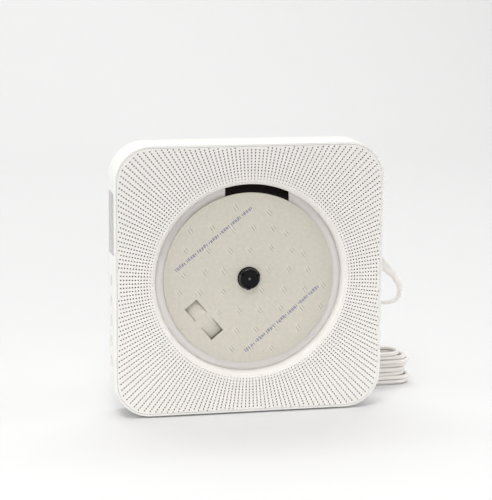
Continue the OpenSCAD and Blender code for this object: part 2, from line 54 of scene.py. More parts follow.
MM = 0.001


def at(x, d, z):
    """A point given in mm by x, the depth behind the front face and the height from the well's middle."""
    return (x * MM, (d - 20) * MM, (z + 95) * MM)


# ---------------------------------------------------------------- camera
turn = Vector((1.75673045, -0.182469287, 0.162949833))
R = Matrix.Rotation(turn.length, 3, turn.normalized())
T = Vector((1.56023194, 10.2179935, 649.362390))
centre = (R.transposed() @ T) * -2.0
camera = bpy.data.objects.new("camera", bpy.data.cameras.new("camera"))
bpy.context.scene.collection.objects.link(camera)
camera.data.sensor_width = 36
camera.data.lens = 1890.3366 * 36 / 500
camera.data.clip_start, camera.data.clip_end = 0.05, 50
axes = Matrix((R[0], -R[1], -R[2])).transposed()
camera.matrix_world = Matrix.Translation(Vector(at(centre.x, centre.y, centre.z))) @ axes.to_4x4()
bpy.context.scene.camera = camera


# ---------------------------------------------------------------- materials
def socket(bsdf, name, value):
    bsdf.inputs[name].default_value = value


def material(name, base, rough=0.45, vary=0.015, patch=25.0, grain=2500.0, bump=0.05, spread=0.05, metallic=0.0,
             coat=0.0, coat_rough=0.1, sheen=0.0, level=0.5, through=0.0, ior=1.5, lines=None, under=0.0):
    """A moulded, drawn or printed surface: a slow change of colour, and fine grain in roughness and height."""
    m = bpy.data.materials.new(name)
    m.use_nodes = True
    t = m.node_tree
    b = t.nodes["Principled BSDF"]
    place = t.nodes.new("ShaderNodeTexCoord").outputs["Object"]

    def noise(scale, detail=3.0, vector=None):
        n = t.nodes.new("ShaderNodeTexNoise")
        n.inputs["Scale"].default_value = scale
        n.inputs["Detail"].default_value = detail
        t.links.new(vector or place, n.inputs["Vector"])
        return n.outputs["Fac"]

    ramp = t.nodes.new("ShaderNodeValToRGB")
    ramp.color_ramp.elements[0].position, ramp.color_ramp.elements[1].position = 0.3, 0.7
    ramp.color_ramp.elements[0].color = [max(0, c * (1 - vary)) for c in base] + [1]
    ramp.color_ramp.elements[1].color = [min(1, c * (1 + vary)) for c in base] + [1]
    t.links.new(noise(patch), ramp.inputs["Fac"])
    t.links.new(ramp.outputs["Color"], b.inputs["Base Color"])
    vector = None
    if lines:  # drawn or turned metal: grain stretched along an axis
        mapping = t.nodes.new("ShaderNodeMapping")
        mapping.inputs["Scale"].default_value = lines
        t.links.new(place, mapping.inputs["Vector"])
        vector = mapping.outputs["Vector"]
    fine = noise(grain, 2.0, vector)
    span = t.nodes.new("ShaderNodeMapRange")
    span.inputs["From Min"].default_value, span.inputs["From Max"].default_value = 0.3, 0.7
    span.inputs["To Min"].default_value, span.inputs["To Max"].default_value = max(0.02, rough - spread), min(1, rough + spread)
    t.links.new(fine, span.inputs["Value"])
    t.links.new(span.outputs["Result"], b.inputs["Roughness"])
    if bump:
        h = t.nodes.new("ShaderNodeBump")
        h.inputs["Strength"].default_value = bump
        h.inputs["Distance"].default_value = 0.0002
        t.links.new(fine, h.inputs["Height"])
        t.links.new(h.outputs["Normal"], b.inputs["Normal"])
    socket(b, "Metallic", metallic)
    socket(b, "IOR", ior)
    socket(b, "Specular IOR Level", level)
    if coat:
        socket(b, "Coat Weight", coat)
        socket(b, "Coat Roughness", coat_rough)
    if sheen:
        socket(b, "Sheen Weight", sheen)
    if through:
        socket(b, "Transmission Weight", through)
    if under:
        socket(b, "Subsurface Weight", under)
        socket(b, "Subsurface Scale", 0.001)
    return m


MAT = {
    "shell": material("white_shell", (0.855, 0.845, 0.822), 0.46, 0.006, 18, 3200, 0.05, 0.04, level=0.25),
    "panel": material("drilled_panel", (0.868, 0.838, 0.804), 0.5, 0.008, 22, 3200, 0.06, 0.05, level=0.35),
    "deck": material("grey_deck", (0.83, 0.80, 0.78), 0.48, 0.01, 30, 2600, 0.05, 0.05, level=0.35),
    "dark_window": material("smoked_window", (0.008, 0.004, 0.004), 0.16, 0.3, 60, 900, 0.0, 0.02, level=0.12),
    "dark_plastic": material("dark_plastic", (0.03, 0.03, 0.032), 0.45, 0.1, 80, 2400, 0.08, 0.08),
    "display_window": material("display_window", (0.36, 0.34, 0.35), 0.22, 0.02, 60, 1500, 0.0, 0.03, coat=0.3, coat_rough=0.1),
    "display": material("display_glass", (0.1, 0.13, 0.1), 0.12, 0.1, 90, 900, 0.0, 0.02, coat=0.5, coat_rough=0.05),
    "button": material("grey_button", (0.72, 0.705, 0.69), 0.45, 0.01, 60, 2600, 0.05, 0.05),
    "rear": material("rear_cover", (0.8, 0.785, 0.765), 0.55, 0.012, 25, 1800, 0.14, 0.06),
    "steel": material("plated_steel", (0.62, 0.62, 0.63), 0.3, 0.05, 120, 1800, 0.04, 0.08, metallic=1.0),
    "bracket": material("coated_bracket", (0.6, 0.6, 0.6), 0.5, 0.02, 60, 2200, 0.12, 0.06),
    "foot": material("rubber_foot", (0.5, 0.48, 0.46), 0.8, 0.03, 90, 2600, 0.15, 0.05, level=0.3),
    "magnet": material("ferrite", (0.06, 0.06, 0.065), 0.6, 0.15, 120, 1500, 0.2, 0.1, metallic=0.3),
    "cone": material("pressed_cone", (0.035, 0.034, 0.035), 0.85, 0.25, 300, 2800, 0.3, 0.05, level=0.25),
    "damper": material("soft_rubber", (0.025, 0.025, 0.025), 0.75, 0.15, 120, 2400, 0.12, 0.06, level=0.3),
    "plate": material("steel_plate", (0.56, 0.56, 0.57), 0.36, 0.05, 60, 700, 0.05, 0.1, metallic=1.0, lines=(1, 0.3, 9)),
    "motor": material("motor_can", (0.6, 0.6, 0.61), 0.32, 0.05, 90, 700, 0.05, 0.1, metallic=1.0, lines=(1, 12, 1)),
    "hub_black": material("black_hub", (0.006, 0.006, 0.007), 0.55, 0.25, 350, 1600, 0.1, 0.08, level=0.14),
    "card": material("paper_card", (0.64, 0.61, 0.53), 0.86, 0.04, 420, 900, 0.45, 0.05, level=0.2),
    "lens_glass": material("coated_lens", (0.3, 0.36, 0.72), 0.04, 0.05, 200, 900, 0.0, 0.01, coat=0.8, coat_rough=0.02, through=0.5),
    "gear_plastic": material("natural_gear", (0.78, 0.77, 0.7), 0.4, 0.02, 120, 1800, 0.05, 0.05),
    "brass": material("turned_brass", (0.72, 0.52, 0.2), 0.28, 0.08, 150, 900, 0.04, 0.08, metallic=1.0, lines=(1, 10, 1)),
    "cord_white": material("cord_sheath", (0.82, 0.785, 0.75), 0.5, 0.01, 40, 2600, 0.06, 0.05, level=0.35),
    "tie": material("tie_band", (0.62, 0.61, 0.6), 0.7, 0.05, 250, 1300, 0.3, 0.08, sheen=0.3),
    # lighter copy of the card colour for the crease ridges: a painted highlight
    "card_fibre": material("crease_painted_highlight", (0.74, 0.71, 0.63), 0.86, 0.03, 400, 1500, 0.12, 0.05, level=0.2),
    # darker copy of the card colour for the strips beside them: painted shade
    "card_fold": material("crease_painted_shade", (0.43, 0.4, 0.34), 0.9, 0.03, 400, 1500, 0.12, 0.05, level=0.1),
    "hub_rim": material("satin_black_rim", (0.006, 0.006, 0.007), 0.15, 0.2, 350, 1600, 0.05, 0.06, level=0.55),
    "tip": material("dark_spindle_tip", (0.16, 0.16, 0.17), 0.45, 0.05, 120, 900, 0.04, 0.08, metallic=1.0),
    "ink": material("blue_ink", (0.05, 0.06, 0.28), 0.7, 0.12, 700, 2600, 0.04, 0.05, level=0.25),
    "pin_metal": material("dc_contact", (0.66, 0.65, 0.62), 0.25, 0.05, 150, 1200, 0.03, 0.06, metallic=1.0),
}


def woven(name, base, pitch):
    """Thin woven cloth: two crossing sets of threads in height."""
    m = material(name, base, 0.9, 0.2, 300, 2500, 0.0, 0.05, sheen=0.2, level=0.2)
    t = m.node_tree
    b = t.nodes["Principled BSDF"]
    place = t.nodes.new("ShaderNodeTexCoord").outputs["Object"]
    waves = []
    for axis in ("X", "Z"):
        w = t.nodes.new("ShaderNodeTexWave")
        w.wave_type, w.bands_direction = "BANDS", axis
        w.inputs["Scale"].default_value = 1 / pitch / 3.1416 * 1.57
        t.links.new(place, w.inputs["Vector"])
        waves.append(w.outputs["Fac"])
    high = t.nodes.new("ShaderNodeMath")
    high.operation = "MAXIMUM"
    t.links.new(waves[0], high.inputs[0])
    t.links.new(waves[1], high.inputs[1])
    h = t.nodes.new("ShaderNodeBump")
    h.inputs["Strength"].default_value = 0.7
    h.inputs["Distance"].default_value = 0.0001
    t.links.new(high.outputs[0], h.inputs["Height"])
    t.links.new(h.outputs["Normal"], b.inputs["Normal"])
    return m


MAT["cloth"] = woven("speaker_cloth", (0.05, 0.042, 0.036), 0.0003)


def circuit(name):
    """Green boards: solder mask with a pattern of tracks."""
    m = material(name, (0.03, 0.13, 0.06), 0.35, 0.1, 200, 2500, 0.04, 0.06, coat=0.3, coat_rough=0.2)
    t = m.node_tree
    b = t.nodes["Principled BSDF"]
    place = t.nodes.new("ShaderNodeTexCoord").outputs["Object"]
    v = t.nodes.new("ShaderNodeTexVoronoi")
    v.distance = "MANHATTAN"
    v.inputs["Scale"].default_value = 260
    t.links.new(place, v.inputs["Vector"])
    r = t.nodes.new("ShaderNodeValToRGB")
    r.color_ramp.elements[0].position, r.color_ramp.elements[1].position = 0.42, 0.46
    r.color_ramp.elements[0].color, r.color_ramp.elements[1].color = (0.028, 0.12, 0.055, 1), (0.05, 0.2, 0.09, 1)
    t.links.new(v.outputs["Distance"], r.inputs["Fac"])
    t.links.new(r.outputs["Color"], b.inputs["Base Color"])
    return m


MAT["circuit"] = circuit("circuit_board")


# ---------------------------------------------------------------- mesh helpers
def obj(name, verts, faces, slot, body, angle=32, replaces=(), normals=True):
    """A piece from mesh data in metres, which takes its finish from a slot and rides on a body."""
    me = bpy.data.meshes.new(name)
    me.from_pydata([tuple(v) for v in verts], [], faces)
    bm = bmesh.new()
    bm.from_mesh(me)
    bmesh.ops.remove_doubles(bm, verts=bm.verts, dist=2e-6)
    if normals:
        bmesh.ops.recalc_face_normals(bm, faces=bm.faces)
    bm.to_mesh(me)
    bm.free()
    return finish_piece(name, me, slot, body, angle, replaces)


def finish_piece(name, me, slot, body, angle=32, replaces=()):
    me.polygons.foreach_set("use_smooth", [True] * len(me.polygons))
    me.set_sharp_from_angle(angle=math.radians(angle))
    me.materials.clear()
    me.materials.append(MAT[slot])
    o = bpy.data.objects.new(name, me)
    bpy.context.scene.collection.objects.link(o)
    if body:
        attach(o, body)
    if replaces:
        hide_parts(*replaces)
    return o


def raw(verts, faces):
    """A bare object for a cut, in mm, not yet a piece."""
    me = bpy.data.meshes.new("cutter")
    me.from_pydata([tuple(v) for v in verts], [], faces)
    bm = bmesh.new()
    bm.from_mesh(me)
    bmesh.ops.remove_doubles(bm, verts=bm.verts, dist=2e-6)
    bmesh.ops.recalc_face_normals(bm, faces=bm.faces)
    bm.to_mesh(me)
    bm.free()
    o = bpy.data.objects.new("cutter", me)
    bpy.context.scene.collection.objects.link(o)
    return o


def carve(base, tools, how="DIFFERENCE"):
    """The mesh of base after each tool is taken from it, and all of them removed."""
    for i, c in enumerate(tools):
        m = base.modifiers.new("cut%d" % i, "BOOLEAN")
        m.operation, m.solver, m.object = how, "EXACT", c
    bpy.context.view_layer.update()
    dg = bpy.context.evaluated_depsgraph_get()
    me = bpy.data.meshes.new_from_object(base.evaluated_get(dg))
    for o in [base, *tools]:
        bpy.data.objects.remove(o)
    return me


def box_data(x, d, z):
    v = [at(a, b, c) for a in x for b in d for c in z]
    return v, [(0, 1, 3, 2), (4, 6, 7, 5), (0, 4, 5, 1), (2, 3, 7, 6), (0, 2, 6, 4), (1, 5, 7, 3)]


def stack(rings, closed=True, caps=False):
    """Faces between rings of equally many points."""
    n = len(rings[0])
    verts = [p for r in rings for p in r]
    faces = []
    m = len(rings)
    for i in range(m if closed else m - 1):
        a, b = i * n, (i + 1) % m * n
        faces += [(a + k, a + (k + 1) % n, b + (k + 1) % n, b + k) for k in range(n)]
    if caps:
        faces += [tuple(range(n)), tuple(range((m - 1) * n, m * n))]
    return verts, faces


def turned(profile, n=192, closed=True, x=0.0, z=0.0):
    """A profile of (radius, depth) in mm turned about the axis along the depth."""
    rings = [[at(x + r * math.cos(2 * math.pi * k / n), d, z + r * math.sin(2 * math.pi * k / n)) for k in range(n)] for r, d in profile]
    return stack(rings, closed, False)


def rod(x, z, r, d0, d1, n=48):
    rings = [[at(x + r * math.cos(2 * math.pi * k / n), d, z + r * math.sin(2 * math.pi * k / n)) for k in range(n)] for d in (d0, d1)]
    return stack(rings, False, True)


def cross_rod(x0, x1, d, z, r, n=64):
    rings = [[at(x, d + r * math.cos(2 * math.pi * k / n), z + r * math.sin(2 * math.pi * k / n)) for k in range(n)] for x in (x0, x1)]
    return stack(rings, False, True)


def merged(parts):
    verts, faces = [], []
    for v, f in parts:
        k = len(verts)
        verts += list(v)
        faces += [tuple(i + k for i in face) for face in f]
    return verts, faces


def square_ring(half, corner=69.0, n=24):
    """Points of a rounded square whose corner centres stay at +-corner, as (x, z) in mm, anticlockwise."""
    r = half - corner
    pts = []
    for q, (sx, sz) in enumerate(((1, 1), (-1, 1), (-1, -1), (1, -1))):
        for i in range(n + 1):
            a = math.radians(90 * q + 90 * i / n)
            pts.append((sx * corner + r * math.cos(a), sz * corner + r * math.sin(a)))
    return pts


def square_stack(profile, corner=69.0, n=24, closed=True, caps=False):
    return stack([[at(x, d, z) for x, z in square_ring(h, corner, n)] for h, d in profile], closed, caps)


def arc(cx, cy, rx, ry, a0, a1, n):
    return [(cx + rx * math.cos(math.radians(a0 + (a1 - a0) * i / n)), cy + ry * math.sin(math.radians(a0 + (a1 - a0) * i / n))) for i in range(n + 1)]


def along(points, n):
    """Catmull-Rom points along a route, n to each span."""
    p = [Vector(q) for q in points]
    k = len(p)
    out = []
    for i in range(k - 1):
        a, b, c, e = p[max(i - 1, 0)], p[i], p[i + 1], p[min(i + 2, k - 1)]
        for j in range(n):
            t = j / n
            out.append(0.5 * (2 * b + (c - a) * t + (2 * a - 5 * b + 4 * c - e) * t * t + (3 * b - a - 3 * c + e) * t ** 3))
    return out + [p[-1]]


def swept(points, section, up=Vector((0, 1, 0)), caps=True):
    """Sections along points in mm. section(i) gives (u, v) offsets in the plane across the route."""
    rings = []
    n = len(points)
    for i, p in enumerate(points):
        t = (points[min(i + 1, n - 1)] - points[max(i - 1, 0)]).normalized()
        u = t.cross(up).normalized()
        v = u.cross(t).normalized()
        rings.append([tuple((p + u * a + v * b) * MM) for a, b in section(i)])
    return stack(rings, False, caps)


def super_section(a, b, power, n=32):
    pts = []
    for k in range(n):
        t = 2 * math.pi * k / n
        c, s = math.cos(t), math.sin(t)
        pts.append((a * math.copysign(abs(c) ** (2 / power), c), b * math.copysign(abs(s) ** (2 / power), s)))
    return pts


# ---------------------------------------------------------------- cord
# points in the part's frame in mm: the routes of the cord's solids, with the hank's turns between them
relief_route = [(107.1, -4.3, 90.9), (109.5, -4.2, 87.3), (111.4, -4, 84), (112.2, -3.4, 80.4), (112, -2.5, 77)]
cord_route = [(112, -2.5, 77), (111, -1.2, 73.8), (109, 1, 71.4), (106, 4.5, 69.8), (103, 8.5, 68.8), (101, 12.7, 67), (100, 17, 63.7),
              (99.6, 21.6, 58.9), (99.5, 26.2, 53), (99.5, 30.3, 46.6), (99.1, 33.6, 40.3), (97, 35.8, 34.3), (92, 36.5, 29.6), (86, 36, 27)]
tail_route = [(66, 35.8, 1.6), (60, 36, 1.55), (54, 37.4, 1.6), (48, 40.2, 2.2), (42, 43.2, 3.3), (37, 44.8, 3.9), (34, 45, 3.9), (30, 45, 3.9)]


def ease(t):
    t = min(1.0, max(0.0, t))
    return t * t * (3 - 2 * t)


right_end = [117.5, 123.6, 125, 124.6, 121.4, 122.4, 125, 124.2]   # where each turn's right fold starts
right_r = [8.3, 7.4, 8.5, 6.9, 8.4, 7.5, 8.5, 8.2]
left_end = [67.2, 65.7, 66.8, 65.6, 67.4, 65.8, 66.4, 65.5]
left_r = [8.2, 8.5, 7.6, 8.4, 8.0, 8.5, 7.8, 8.5]
MIDDLE = 44.2


def hank_points():
    """Turns of the folded cord, one on the other. Each goes left along the front, round, right along the back and round."""
    pts = []
    waist = 7.9
    for k in range(8):
        rl, rr, xl, xr = left_r[k], right_r[k], left_end[k], right_end[k]
        prev = right_r[k - 1] if k else 8.4
        run = []
        def side(x0, x1, r0, r1, sign, m):
            for j in range(m):
                t = j / m
                x = x0 + (x1 - x0) * t
                r = r0 + (r1 - r0) * ease(t)
                run.append((x, MIDDLE + sign * r))
        side(84 if k else 82, 75, waist if k else 8.2, waist, -1, 2)
        side(75, xl, waist, rl, -1, 3)
        for j in range(9):
            a = math.radians(-90 - 180 * j / 9)
            run.append((xl + rl * math.cos(a), MIDDLE + rl * math.sin(a)))
        side(xl, 75, rl, waist, 1, 3)
        side(75, xr, waist, rr, 1, 9)
        for j in range(9):
            a = math.radians(90 - 180 * j / 9)
            run.append((xr + rr * math.cos(a), MIDDLE + rr * math.sin(a)))
        side(xr, 84, rr, waist, -1, 8)
        n = len(run)
        for j, (x, y) in enumerate(run):
            drop = 3.02 * (k + j / n)
            free = ease((abs(x - 74.5) - 3) / 22)
            wave = 0.18 * math.sin(0.11 * x + 2.3 * k) * free if 0 < k < 7 else 0
            pts.append((x, y, 26.45 - drop - 0.72 * free + wave))
    pts += [(84, MIDDLE - 7.9, 2.05), (79, MIDDLE - 7.9, 2.28), (74.5, MIDDLE - 8.0, 2.3), (70, MIDDLE - 8.2, 2.1)]
    return pts


route = along([(103, -4.3, 95)] + relief_route, 4)[:-1] + along(cord_route + hank_points()[:1], 4)[:-1] + along(hank_points() + tail_route, 2)
data = bpy.data.curves.new("power_cord_run", "CURVE")
data.dimensions = "3D"
line = data.splines.new("POLY")
line.points.add(len(route) - 1)
for p, q in zip(line.points, route):
    p.co = (*(q * MM), 1)
line.use_smooth = True
data.bevel_depth, data.bevel_resolution, data.use_fill_caps = 1.5 * MM, 5, True
data.materials.append(MAT["cord_white"])
cord = bpy.data.objects.new("cord_run", data)
bpy.context.scene.collection.objects.link(cord)
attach(cord, "player")
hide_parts("power_cord", "cord_hank", "cord_tail")

# plug at the player: a round nose that turns down into a boxy tapered grip
down = Vector((1, 0, -1)).normalized()
elbow = Vector((96.2, -4.3, 102))
path = [Vector((94.15, -4.3, 102)), Vector((94.4, -4.3, 102)), Vector((95.2, -4.3, 102)), Vector((96.0, -4.3, 101.8)), Vector((97.0, -4.3, 101.15))]
path += [elbow + down * s for s in (2.2, 3.2, 4.4, 6, 8, 10, 12, 13.4, 14.4, 14.9, 15.1)]
size = [(3.15, 3.15, 2.2), (3.5, 3.5, 2.2), (3.6, 3.65, 2.4), (3.65, 3.75, 3), (3.7, 3.8, 3.6)]
size += [(3.7, 3.8, 4), (3.66, 3.75, 4.2), (3.58, 3.68, 4.2), (3.4, 3.5, 4.2), (3.2, 3.3, 4.2), (3.0, 3.1, 4.2), (2.8, 2.95, 4), (2.66, 2.8, 3.8), (2.5, 2.65, 3.4), (2.2, 2.35, 3), (1.7, 1.8, 2.6)]
v, f = swept(path, lambda i: super_section(*size[i], n=40))
grip = obj("plug_grip", v, f, "cord_white", "player", 40, ["dc_plug"])
barrel = [(1.4, 84.7), (2.45, 84.6), (2.72, 84.9), (2.75, 85.4), (2.75, 94.3), (1.4, 94.3)]
n = 48
rings = [[at(x, 15.7 + r * math.cos(2 * math.pi * k / n), 7 + r * math.sin(2 * math.pi * k / n)) for k in range(n)] for r, x in barrel]
v, f = stack(rings, True)
plug_barrel = obj("plug_barrel", v, f, "pin_metal", "player", 32)

# ribbed relief
pts = along([Vector(p) for p in ((106.4, -4.3, 91.9),) + tuple(relief_route)], 12)
total = len(pts)


def relief_section(i):
    t = i / (total - 1)
    r = 2.62 + (1.82 - 2.62) * t
    rib = 0.26 * (0.5 + 0.5 * math.cos(2 * math.pi * 6.0 * t)) if 0.06 < t < 0.97 else 0.0
    if t > 0.985:
        r -= 0.2
    return [((r - rib) * math.cos(2 * math.pi * k / 28), (r - rib) * math.sin(2 * math.pi * k / 28)) for k in range(28)]


v, f = swept(pts, relief_section)
relief = obj("ribbed_relief", v, f, "cord_white", "player", 50, ["strain_relief"])

# band round the hank's waist
ring_out, ring_in = [], []
for k in range(64):
    a = 2 * math.pi * k / 64
    c, s = math.cos(a), math.sin(a)
    y, z = math.copysign(abs(c) ** 0.62, c), math.copysign(abs(s) ** 0.32, s)
    ring_out.append((MIDDLE + 10.5 * y, 14.4 + 14.35 * z))
    ring_in.append((MIDDLE + 9.55 * y, 14.4 + 13.65 * z))
rings = []
for x, out in ((72.0, False), (72.0, True), (72.4, None), (76.6, None), (77.0, True), (77.0, False)):
    src = ring_in if out is False else ring_out
    swell = 0.12 if out is None else 0.0
    rings.append([((x) * MM, (MIDDLE + (y - MIDDLE) * (1 + swell / 10)) * MM, (14.4 + (z - 14.4) * (1 + (0.05 if out is None else 0) / 14)) * MM) for y, z in src])
v, f = stack(rings, True)
tie = obj("hank_band", v, f, "tie", "player", 40, ["cord_tie"])

# plug at the cord's far end: overmould with a neck, and a metal shell
path = [Vector((x, 45, 3.9)) for x in (12.0, 12.25, 13, 16, 22, 28, 30.4, 31.6, 32.4, 33, 33.9)]
size = [(3.3, 7.0, 4), (3.7, 7.5, 4.4), (3.88, 7.75, 4.8), (3.9, 7.8, 5), (3.7, 7.7, 5), (3.75, 7.75, 5), (3.8, 7.7, 4.6), (3.5, 7.1, 4), (2.9, 5.6, 3.4), (2.4, 3.4, 2.6), (1.9, 2.0, 2)]
v, f = swept(path, lambda i: super_section(*size[i], n=48))
far_plug = obj("far_plug_grip", v, f, "cord_white", "player", 40, ["usb_plug"])
rings = []
for x, a, b in ((0.0, 5.75, 2.0), (0.0, 5.95, 2.2), (0.25, 6.0, 2.25), (12.6, 6.0, 2.25), (12.6, 5.7, 1.95), (0.4, 5.7, 1.95)):
    rings.append([(x * MM, (45 + p) * MM, (3.9 + q) * MM) for p, q in super_section(a, b, 9, 48)])
v, f = stack(rings, True)
shell = raw(v, f)
holes = []
for y in (42.4, 47.6):
    holes.append(raw(*merged([box_data((4.6, 7.2), (y - 1.2 + 20, y + 1.2 + 20), (3.9 + 1.5 - 95, 3.9 + 3 - 95))])))
far_shell = finish_piece("far_plug_shell", carve(shell, holes), "steel", "player", 32, ["usb_shell"])
v, f = box_data((0.6, 12.4), (39.6 + 20, 50.4 + 20), (2.0 - 95, 3.7 - 95))
bm = bmesh.new()
me = bpy.data.meshes.new("far_plug_tongue")
me.from_pydata(v, [], f)
bm.from_mesh(me)
bmesh.ops.bevel(bm, geom=bm.edges[:], offset=0.2 * MM, segments=2, affect="EDGES")
bm.to_mesh(me)
bm.free()
far_tongue = finish_piece("far_plug_tongue", me, "cord_white", "player")

length = sum((route[i + 1] - route[i]).length for i in range(len(route) - 1)) * MM
print("cord length", round(length, 3))

# ---------------------------------------------------------------- stage and light
profile = [(-4.5, 0.0), (1.15, 0.0)] + [(1.15 + 0.75 * math.sin(math.radians(a)), 0.75 * (1 - math.cos(math.radians(a)))) for a in range(5, 91, 5)] + [(1.9, 3.2)]
v = [(x, y, z - 0.00012) for y, z in profile for x in (-3.2, 3.2)]
f = [(2 * i, 2 * i + 1, 2 * i + 3, 2 * i + 2) for i in range(len(profile) - 1)]
me = bpy.data.meshes.new("sweep")
me.from_pydata(v, [], f)
me.polygons.foreach_set("use_smooth", [True] * len(me.polygons))
sweep_mat = material("pale_sweep", (0.77, 0.77, 0.77), 0.75, 0.003, 2, 60, 0.0, 0.03, level=0.15)
me.materials.append(sweep_mat)
sweep = bpy.data.objects.new("sweep", me)
bpy.context.scene.collection.objects.link(sweep)


def area(name, place, look, w, h, watts, colour=(1, 1, 1), spread=180):
    d = bpy.data.lights.new(name, "AREA")
    d.shape, d.size, d.size_y, d.energy, d.color = "RECTANGLE", w, h, watts, colour
    d.spread = math.radians(spread)
    o = bpy.data.objects.new(name, d)
    bpy.context.scene.collection.objects.link(o)
    o.location = place
    o.rotation_euler = (Vector(look) - Vector(place)).to_track_quat("-Z", "Y").to_euler()
    return o


# name, place, what it looks at, width, height, watts, colour, spread
LIGHTS = [
    ("key_box", (-0.35, -1.0, 1.5), (0.0, 0.0, 0.1), 0.5, 0.4, 7.2, (1, 1, 1)),
    ("top_box", (0.0, 0.0, 1.7), (0.0, 0.0, 0.0), 1.7, 1.3, 5.2, (1, 1, 1)),
    ("top_back", (0.0, 1.0, 1.8), (0.0, 0.2, 0.0), 2.2, 0.9, 10.8, (1, 1, 1)),
    ("left_box", (-1.45, -1.25, 0.3), (0, 0, 0.1), 1.1, 0.5, 2.2, (1, 1, 1)),
    ("back_box", (0.0, 0.9, 1.9), (0.0, 1.9, 0.9), 2.6, 0.8, 13.2, (1, 1, 1)),
    ("table_box", (0.0, -1.0, 1.9), (0.0, -0.95, 0.0), 2.2, 1.2, 4.8, (1, 1, 1), 70),
    ("low_front", (0.0, -1.6, 0.16), (0.0, 0.0, -0.03), 1.4, 0.12, 0.15, (1, 1, 1), 14),
    ("right_side", (1.5, -0.2, 0.35), (0, 0, 0.08), 0.8, 0.6, 6.4, (1, 1, 1)),
    ("left_side", (-1.5, -0.2, 0.35), (0, 0, 0.08), 0.8, 0.6, 5.9, (1, 1, 1)),
]
for row in LIGHTS:
    area(*row)
world = bpy.data.worlds.new("world")
world.use_nodes = True
world.node_tree.nodes["Background"].inputs["Color"].default_value = (1, 0.995, 0.985, 1)
world.node_tree.nodes["Background"].inputs["Strength"].default_value = 0.355
bpy.context.scene.world = world
bpy.context.scene.view_settings.view_transform = "Standard"
bpy.context.scene.view_settings.look = "None"

# ---------------------------------------------------------------- front panel, with its rings of holes
LIP, THROAT, LIP_D = 69.8, 65.7, 5.6
PANEL = 91.88        # half side of the flat face, before its rounded edge
HOLE = 0.5
WIDEN = 1.6


def hole_radius(i):
    """Two rings on and beside the lip have smaller holes."""
    return {34: 0.22, 35: 0.38}.get(i, HOLE)


def lip_front(r):
    s = 1 - (r - THROAT) / (LIP - THROAT)
    return 0.0 if s <= 0 else LIP_D * (1 - math.sqrt(max(0.0, 1 - min(1.0, s) ** 2)))


def lip_back(r):
    s = 1 - (r - THROAT - 1.6) / 4.3
    return 2.0 if s <= 0 else 2 + 3.6 * (1 - math.sqrt(max(0.0, 1 - min(1.0, s) ** 2)))


def square_gap(x, z, half):
    """How far inside the rounded square a point is; negative outside."""
    x, z = abs(x), abs(z)
    if x > 69 and z > 69:
        return half - 69 - math.hypot(x - 69, z - 69)
    return half - max(x, z)


def clip(poly, bound):
    """A convex polygon cut to a convex boundary, both anticlockwise."""
    out = poly
    for i in range(len(bound)):
        (ax, az), (bx, bz) = bound[i], bound[(i + 1) % len(bound)]
        ex, ez = bx - ax, bz - az
        if abs(ex) + abs(ez) < 1e-9:
            continue
        src, out = out, []
        for j in range(len(src)):
            p, q = src[j], src[(j + 1) % len(src)]
            sp = ex * (p[1] - az) - ez * (p[0] - ax)
            sq = ex * (q[1] - az) - ez * (q[0] - ax)
            if sp >= -1e-9:
                out.append(p)
            if (sp > 1e-9 and sq < -1e-9) or (sp < -1e-9 and sq > 1e-9):
                t = sp / (sp - sq)
                out.append((p[0] + (q[0] - p[0]) * t, p[1] + (q[1] - p[1]) * t))
        if len(out) < 3:
            return []
    return out


pv, pf, seen = [], [], {}


def panel_vert(x, z, side):
    key = (round(x, 3), round(z, 3), side)
    if key not in seen:
        seen[key] = len(pv)
        r = math.hypot(x, z)
        pv.append(at(x, lip_back(r) if side else lip_front(r), z))
    return seen[key]


def stitch(outer, inner, cx, cz, side):
    """Triangles between a convex outline and a round hole in it."""
    def turns(loop):
        a = [math.atan2(z - cz, x - cx) for x, z in loop]
        start = a.index(min(a))
        return [(a[(start + i) % len(a)], loop[(start + i) % len(a)]) for i in range(len(a))]
    o, n = turns(outer), turns(inner)
    ov = [panel_vert(*p, side) for _, p in o]
    nv = [panel_vert(*p, side) for _, p in n]
    i = j = 0
    while i < len(o) or j < len(n):
        ao = o[(i + 1) % len(o)][0] + (2 * math.pi if i + 1 >= len(o) else 0) if i < len(o) else 99
        an = n[(j + 1) % len(n)][0] + (2 * math.pi if j + 1 >= len(n) else 0) if j < len(n) else 99
        a, b = ov[i % len(o)], nv[j % len(n)]
        if ao <= an:
            t = (a, ov[(i + 1) % len(o)], b)
            i += 1
        else:
            t = (a, nv[(j + 1) % len(n)], b)
            j += 1
        if len(set(t)) == 3:
            pf.append(t[::-1] if side else t)


bound = square_ring(PANEL, 69, 32)
edge_keys = set()
for k in range(200):        # the dimples on the curve of the lip
    a = math.radians(1.8 * k)
    a0, a1 = math.radians(1.8 * (k - 0.5)), math.radians(1.8 * (k + 0.5))
    steps = [67 + j / 4 for j in range(9)]
    cell = [(r * math.cos(a0), r * math.sin(a0)) for r in steps] + [(r * math.cos(a1), r * math.sin(a1)) for r in reversed(steps)]
    cx, cz, rad = 68 * math.cos(a), 68 * math.sin(a), hole_radius(34)
    ring = [(cx + rad * math.cos(a + 2 * math.pi * (j + 0.5) / 12), cz + rad * math.sin(a + 2 * math.pi * (j + 0.5) / 12)) for j in range(12)]
    stitch(cell, ring, cx, cz, 0)
    fr = [panel_vert(*p, 0) for p in ring]
    bk = []
    for x, z in ring:
        bk.append(len(pv))
        pv.append(at(x, lip_front(68) + 0.7, z))
    for j in range(12):
        pf.append((fr[j], bk[j], bk[(j + 1) % 12], fr[(j + 1) % 12]))
    pf.append(tuple(bk))
